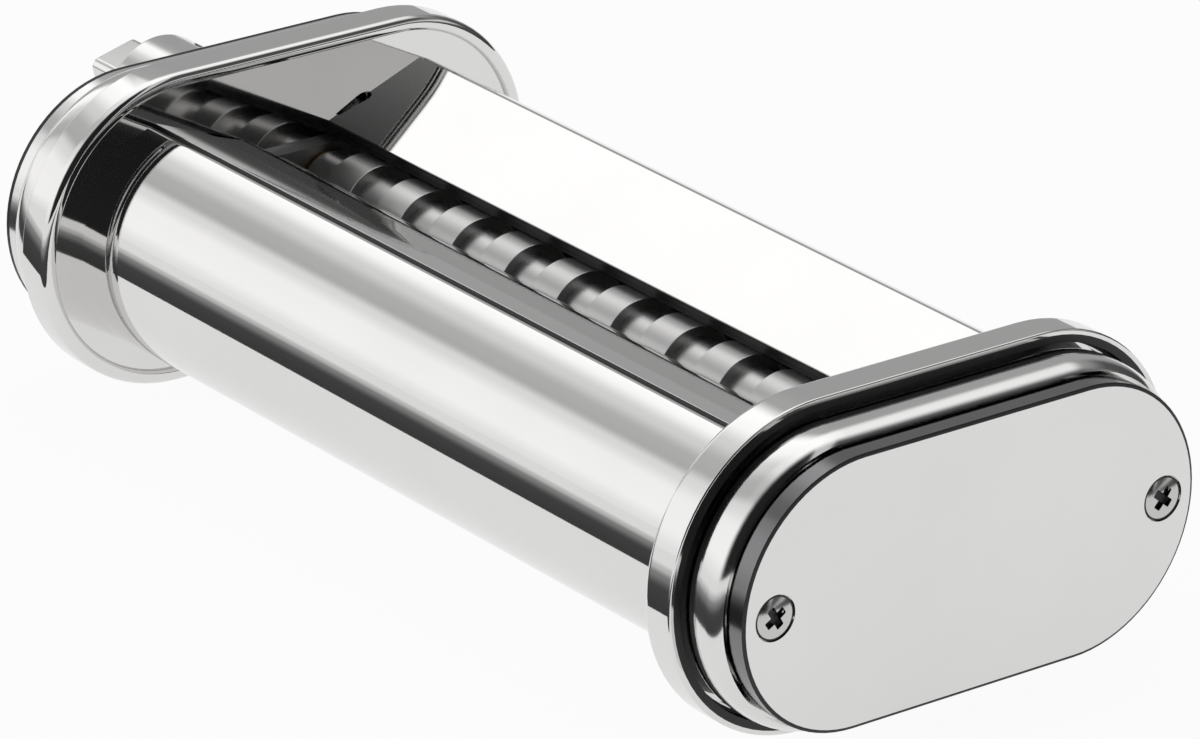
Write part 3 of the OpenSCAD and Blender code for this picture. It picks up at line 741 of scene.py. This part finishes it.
class CUTTER_OT_drive(bpy.types.Operator):
    """Model the drive sleeve on its boss and the shaft with the square tang"""

    bl_idname = "cutter.drive"
    bl_label = "Sleeve and drive shaft"

    def execute(self, context):
        s = sizes()
        y, z = axis_of("rear_cutter_roller")
        plate = span("drive_end_plate", 0)[0]
        low, high = span("drive_sleeve", 0)
        boss = plate - s.boss_length
        points = [(high, s.liner_radius), (high, s.spigot_radius), (plate, s.spigot_radius),
                  (plate, s.boss_radius), (boss, s.boss_radius), (boss, s.sleeve_radius),
                  (low, s.sleeve_radius), (low, s.liner_radius)]
        profile = rounded(points, {1: 0.3 * MM, 4: 0.6 * MM, 5: 0.5 * MM, 6: 0.6 * MM, 7: 0.25 * MM}, 5)
        sleeve = turn_profile("drive_sleeve_turned", [tuple(p) for p in profile + profile[:1]], (y, z))
        lean = math.radians(61)
        out = Vector((0, math.cos(lean), math.sin(lean)))
        clear_selection()
        bpy.ops.mesh.primitive_uv_sphere_add(
            segments=48, ring_count=24, radius=2.75 * MM,
            location=Vector((low + 6.5 * MM, y, z)) + out * (s.sleeve_radius + 1.65 * MM))
        cutter = name_piece("dimple_cutter")
        bpy.ops.object.transform_apply(location=True, rotation=True, scale=True)
        cut_away(sleeve, cutter)
        dress(sleeve, bpy.data.materials["turned drive steel"])
        smooth(sleeve)
        stand_for(sleeve, "housing", "drive_steel", "drive_sleeve")

        low, high = span("drive_shaft", 0)
        end = low + s.tang_length
        socket = high - 8 * MM
        points = [(high, s.journal_radius), (high, s.shaft_radius), (end, s.shaft_radius), (end, 0),
                  (socket, 0), (socket, s.journal_radius)]
        profile = rounded(points, {1: 0.4 * MM, 2: 0.5 * MM}, 5)
        shaft = turn_profile("drive_shaft_turned", [tuple(p) for p in profile + profile[:1]], (y, z))
        half, cut = s.tang_side / 2, s.tang_side / 2 - s.tang_chamfer
        corners = []
        for quarter in range(4):
            a = s.tang_turn + quarter * math.pi / 2
            for u, v in ((half, -cut), (half, cut)):
                corners.append((end + 0.5 * MM, y + u * math.cos(a) - v * math.sin(a),
                                z + u * math.sin(a) + v * math.cos(a)))
        tang = start_point("square_tang", corners[0])
        draw_on(corners)
        bpy.ops.mesh.select_all(action="SELECT")
        bpy.ops.mesh.edge_face_add()
        extrude((low - end - 0.5 * MM, 0, 0))
        close_up()
        apply_modifier(tang, "BEVEL", width=0.45 * MM, segments=4, limit_method="ANGLE",
                       angle_limit=math.radians(30))
        join(shaft, tang)
        dress(shaft, bpy.data.materials["turned drive steel"])
        smooth(shaft)
        stand_for(shaft, "rear_roller", "drive_steel", "drive_shaft")
        return {"FINISHED"}


class CUTTER_OT_covers(bpy.types.Operator):
    """Model the two bent sheet covers of the shell"""

    bl_idname = "cutter.covers"
    bl_label = "Shell covers"

    def execute(self, context):
        s = sizes()
        slope_dir = Vector((0, math.cos(s.slope), math.sin(s.slope)))
        slope_up = Vector((0, -math.sin(s.slope), math.cos(s.slope)))
        shell_y = span("rear_cover", 1)[1] - s.shell_radius
        shell = Vector((0, shell_y, CAP_MID - s.shell_drop))
        edge = Vector((0, s.slot_half, CAP_MID + s.slot_height))
        start = edge - s.fold_radius * slope_up - shell
        reach = s.shell_radius - s.fold_radius
        run = -start.dot(slope_dir) + math.sqrt(start.dot(slope_dir) ** 2 - start.dot(start) + reach ** 2)
        fold = shell + start + run * slope_dir
        out = (fold - shell).normalized()
        fold_turn = slope_up.angle(out)
        round_turn = math.pi / 2 + math.atan2(out.z, out.y)

        at_end = Vector((SHELL_X0, 0, 0))
        lip = edge - Vector((0, 0, 1.6 * MM))
        top = fold + s.fold_radius * slope_up
        bend = rounded([lip, edge, edge + 3 * MM * slope_dir], {1: 0.6 * MM}, 5)
        places = bend[:-1] + [top - 0.2 * MM * slope_dir, top]
        cover = start_point("rear_cover_polished", at_end + places[0])
        draw_on([at_end + p for p in places])
        arc(14, fold_turn, at_end + fold)
        arc(56, round_turn, at_end + shell)
        bottom = shell - Vector((0, 0, s.shell_radius))
        extrude((0, -0.2 * MM, 0))
        extrude((0, s.exit_half - bottom.y + 0.2 * MM, 0))
        bpy.ops.mesh.select_all(action="SELECT")
        extrude((SHELL_X1 - SHELL_X0, 0, 0))
        close_up()
        work_on(cover)
        middle = max(cover.data.polygons, key=lambda p: p.area * (p.normal.z > 0.3))
        inside = middle.normal.z < 0 or middle.center.z > 1
        apply_modifier(cover, "SOLIDIFY", thickness=s.sheet, offset=-1 if not inside else 1,
                       use_even_offset=True)
        dress(cover, bpy.data.materials["polished steel"])
        liner = self.liner(s, edge, top, slope_dir, slope_up)
        for piece in (cover, liner):
            for end in (SHELL_X0, SHELL_X1):
                cut_away(piece, self.notch(s, end))
            smooth(piece)
        join(cover, liner)
        # Painted shade: the cover's lip where it faces the slot is painted near black.
        for face in cover.data.polygons:
            if face.normal.y < -0.9 and face.center.y < s.slot_half + 0.1 * MM:
                face.material_index = 2
        work_on(cover)
        bpy.ops.object.duplicate()
        front = name_piece("front_cover_polished")
        bpy.ops.transform.resize(value=(1, -1, 1), center_override=(0, 0, 0))
        bpy.ops.object.transform_apply(location=True, rotation=True, scale=True)
        bpy.ops.object.mode_set(mode="EDIT")
        bpy.ops.mesh.select_all(action="SELECT")
        bpy.ops.mesh.normals_make_consistent(inside=False)
        bpy.ops.object.mode_set(mode="OBJECT")
        front.data.materials[1] = bpy.data.materials["front hopper sheet"]
        stand_for(cover, "housing", "polished_shell", "rear_cover")
        stand_for(front, "housing", "polished_shell", "front_cover")
        return {"FINISHED"}

    def liner(self, s, edge, top, slope_dir, slope_up):
        """The thin sheet that lines one hopper plate, with painted shade on its edge at the fold and on its
        lip at the slot.
        """
        thick = s.hopper_sheet
        rise = thick * slope_up
        lip = edge - Vector((0, 0.45 * MM, 0))
        points = [edge - 0.35 * MM * slope_up, top - 0.35 * MM * slope_up, top, top + rise,
                  lip + rise, lip - Vector((0, 0, 0.5 * MM)), lip + Vector((0, 0.5 * MM, -0.5 * MM))]
        line = rounded(points, {3: 0.12 * MM, 4: 0.35 * MM}, 5)
        places = [Vector((SHELL_X0, 0, 0)) + p for p in line]
        liner = start_point("hopper_liner", places[0])
        draw_on(places)
        bpy.ops.mesh.select_all(action="SELECT")
        bpy.ops.mesh.edge_face_add()
        extrude((SHELL_X1 - SHELL_X0, 0, 0))
        close_up()
        dress(liner, bpy.data.materials["hopper sheet"])
        liner.data.materials.append(bpy.data.materials["painted shade black"])
        # Painted shade: the sheet's edge at the fold and its lip at the slot are painted near black.
        for face in liner.data.polygons:
            if (face.normal.y > 0.7 and face.center.y > edge.y + 5 * MM) or face.normal.y < -0.8:
                face.material_index = 1
        return liner

    def notch(self, s, end):
        """The upright cutter for the teardrop notch where a hopper plate meets an end wall."""
        width, start, stop = 1.3 * MM, 1.2 * MM, 7.6 * MM
        base = Vector((end, s.slot_half, CAP_MID))
        straight = stop - width
        places = [base + Vector(p) for p in (
            (-width, straight, 0), (-width / 3, start, 0), (width / 3, start, 0), (width, straight, 0))]
        cutter = start_point("notch_cutter", places[0])
        draw_on(places)
        arc(16, -math.pi, base + Vector((0, straight, 0)), (0, 0, 1))
        bpy.ops.mesh.select_all(action="SELECT")
        bpy.ops.mesh.remove_doubles(threshold=0.002 * MM)
        bpy.ops.mesh.edge_face_add()
        extrude((0, 0, 30 * MM))
        close_up()
        return cutter


class CUTTER_OT_rollers(bpy.types.Operator):
    """Model the two cutter rollers"""

    bl_idname = "cutter.rollers"
    bl_label = "Cutter rollers"

    def execute(self, context):
        for side, first in (("rear", 1), ("front", 0)):
            node = side + "_cutter_roller"
            s = sizes()
            half = s.ring_count * s.strip
            low, high = span(node, 0)
            y = sum(span(node, 1)) / 2
            z = sum(span(node, 2)) / 2
            gap = 0.1 * MM
            points, radii = [], {}
            points += [(low, 0), (low, s.journal_radius)]
            radii[1] = 0.3 * MM
            x = SHELL_MID - half
            points += [(x, s.journal_radius), (x, s.core_radius)]
            for k in range(s.ring_count):
                ring = x + (2 * k + first) * s.strip
                if ring > x:
                    points.append((ring + gap, s.core_radius))
                radii[len(points)] = 0.12 * MM
                points.append((ring + gap, s.ring_radius))
                radii[len(points)] = 0.12 * MM
                points.append((ring + s.strip - gap, s.ring_radius))
                if k < s.ring_count - 1 or not first:
                    points.append((ring + s.strip - gap, s.core_radius))
            x = SHELL_MID + half
            if not first:
                points.append((x, s.core_radius))
            points += [(x, s.journal_radius), (high, s.journal_radius), (high, 0)]
            radii[len(points) - 2] = 0.3 * MM
            profile = rounded(points, radii, 3)
            roller = turn_profile(side + "_roller_machined", [tuple(p) for p in profile], (y, z))
            dress(roller, bpy.data.materials["machined cutter steel"])
            smooth(roller)
            stand_for(roller, side + "_roller", "cutter_steel", node)
        return {"FINISHED"}


# ---------------------------------------------------------------- studio


class CUTTER_OT_studio(bpy.types.Operator):
    """Set the floor, the dark card, the soft light and the camera"""

    bl_idname = "cutter.studio"
    bl_label = "Studio"

    def execute(self, context):
        self.camera(context)
        self.floor()
        self.world(context)
        context.scene.view_settings.view_transform = "Standard"
        return {"FINISHED"}

    def camera(self, context):
        """Put the camera at its fitted place, looking down on the plain end's front corner."""
        turn, rise, roll = (math.radians(v) for v in (51.011, 23.097, 1.827))
        back = Vector((math.cos(rise) * math.sin(turn), -math.cos(rise) * math.cos(turn), math.sin(rise)))
        level = Vector((math.cos(turn), math.sin(turn), 0))
        over = back.cross(level)
        right = math.cos(roll) * level + math.sin(roll) * over
        up = -math.sin(roll) * level + math.cos(roll) * over
        target = Vector((33.638 * MM, 0, CAP_MID))
        place = target + 1237.675 * MM * back - 5.968 * MM * right + 2.046 * MM * up
        clear_selection()
        bpy.ops.object.camera_add(location=place)
        camera = context.object
        camera.name = "studio_camera"
        camera.matrix_world = Matrix((
            (right.x, up.x, back.x, place.x), (right.y, up.y, back.y, place.y),
            (right.z, up.z, back.z, place.z), (0, 0, 0, 1)))
        camera.data.sensor_width = 36
        camera.data.lens = 8293.285 / 1200 * 36
        camera.data.clip_end = 20
        context.scene.camera = camera

    def floor(self):
        clear_selection()
        bpy.ops.mesh.primitive_plane_add(size=6, location=(0, 0, -0.0002))
        floor = name_piece("studio_floor")
        bpy.ops.object.transform_apply(location=True, rotation=True, scale=True)
        material, n = new_material("studio floor")
        path = n.add("LightPath")
        share = n.math("MAXIMUM", n.math("MULTIPLY", path.outputs["Is Camera Ray"], 0.94),
                       n.math("MULTIPLY", path.outputs["Is Glossy Ray"], 0.83))
        base = n.add("BsdfDiffuse", in_Color=tuple(finish().floor) + (1,)).outputs[0]
        glow = n.add("Emission", in_Color=(1, 1, 1, 1), in_Strength=1.0).outputs[0]
        finish_material(n, n.add("MixShader", in_0=share, in_1=base, in_2=glow).outputs[0])
        dress(floor, material)
        clear_selection()
        near, far = -0.074, -0.25
        bpy.ops.mesh.primitive_plane_add(size=1, location=(-0.12, (near + far) / 2, 0.0002))
        card = name_piece("dark_card")
        bpy.ops.transform.resize(value=(0.7, near - far, 1))
        bpy.ops.object.transform_apply(location=True, rotation=True, scale=True)
        material, n = new_material("dark card")
        where = n.add("SeparateXYZ", in_0=n.add("TexCoord").outputs["Object"])
        share = n.add("MapRange", in_Value=where.outputs[1], in_1=near, in_2=far).outputs[0]
        level = n.ramp(share, [(0.0, 0.055), (0.16, 0.065), (0.38, 0.25), (0.6, 0.6), (1.0, 0.93)])
        finish_material(n, n.add("Emission", in_Color=level, in_Strength=1.0).outputs[0])
        dress(card, material)
        card.visible_camera = False
        card.visible_shadow = False
        card.visible_diffuse = False

    def world(self, context):
        """Soft light that changes with the direction it comes from."""
        world = bpy.data.worlds.new("studio light")
        world.use_nodes = True
        world.node_tree.nodes.clear()
        n = Nodes(world.node_tree)
        way = n.add("SeparateXYZ", in_0=n.add("TexCoord").outputs["Generated"])
        x, y, z = way.outputs
        rise = n.math("DIVIDE", n.math("ARCTAN2", z, n.math("MULTIPLY", y, -1.0)), math.pi, True)
        left = n.ramp(rise, [(0.0, 0.50), (0.08, 0.59), (0.18, 0.58), (0.26, 0.46), (0.31, 0.27),
                             (0.36, 0.28), (0.44, 0.42), (0.53, 0.64), (0.60, 0.68), (0.68, 0.24),
                             (0.80, 0.21), (1.0, 0.20)])
        middle = n.ramp(rise, [(0.0, 0.50), (0.08, 0.59), (0.18, 0.58), (0.26, 0.46), (0.31, 0.30),
                               (0.36, 0.32), (0.44, 0.5), (0.53, 0.64), (0.60, 0.68), (0.69, 0.60),
                               (0.72, 0.52), (0.77, 0.18), (0.86, 0.05), (1.0, 0.03)])
        right = n.ramp(rise, [(0.0, 0.01), (0.5, 0.008), (0.572, 0.018), (0.592, 0.34), (0.655, 0.34),
                              (0.68, 0.04), (0.78, 0.04), (0.82, 0.09), (0.865, 0.36), (0.895, 0.36),
                              (0.925, 0.05), (1.0, 0.03)])
        level = left
        for start, end, other in ((-0.5, -0.2, middle), (0.1, 0.45, right)):
            side = n.add("MapRange", interpolation_type="SMOOTHSTEP", in_Value=x, in_1=start, in_2=end)
            level = n.add("Mix", data_type="RGBA", in_0=side.outputs[0], in_6=level, in_7=other).outputs[2]
        light = n.add("Background", in_Color=level, in_Strength=2.0).outputs[0]
        white = n.add("Background", in_Color=(1, 1, 1, 1), in_Strength=1.0).outputs[0]
        seen = n.add("LightPath").outputs["Is Camera Ray"]
        n.add("OutputWorld", in_Surface=n.add("MixShader", in_0=seen, in_1=light, in_2=white).outputs[0])
        context.scene.world = world


PIECES = (
    CUTTER_OT_finishes, CUTTER_OT_end_walls, CUTTER_OT_end_covers, CUTTER_OT_end_plates,
    CUTTER_OT_end_screws, CUTTER_OT_drive, CUTTER_OT_covers, CUTTER_OT_rollers, CUTTER_OT_studio,
)


class CUTTER_PT_sidebar(bpy.types.Panel):
    """Lists the pieces of the attachment and the studio"""

    bl_idname = "CUTTER_PT_sidebar"
    bl_label = "Noodle Cutter"
    bl_space_type = "VIEW_3D"
    bl_region_type = "UI"
    bl_category = "Noodle Cutter"

    def draw(self, context):
        for piece in PIECES:
            self.layout.operator(piece.bl_idname)


CLASSES = (CutterSizes, CutterFinish) + PIECES + (CUTTER_PT_sidebar,)


def register():
    for cls in CLASSES:
        bpy.utils.register_class(cls)
    bpy.types.Scene.cutter_sizes = bpy.props.PointerProperty(type=CutterSizes)
    bpy.types.Scene.cutter_finish = bpy.props.PointerProperty(type=CutterFinish)


def unregister():
    del bpy.types.Scene.cutter_finish
    del bpy.types.Scene.cutter_sizes
    for cls in reversed(CLASSES):
        bpy.utils.unregister_class(cls)


def main():
    register()
    bpy.ops.cutter.finishes()
    bpy.ops.cutter.end_walls()
    bpy.ops.cutter.end_covers()
    bpy.ops.cutter.end_plates()
    bpy.ops.cutter.end_screws()
    bpy.ops.cutter.drive()
    bpy.ops.cutter.covers()
    bpy.ops.cutter.rollers()
    bpy.ops.cutter.studio()
    clear_selection()


if __name__ == "__main__":
    main()
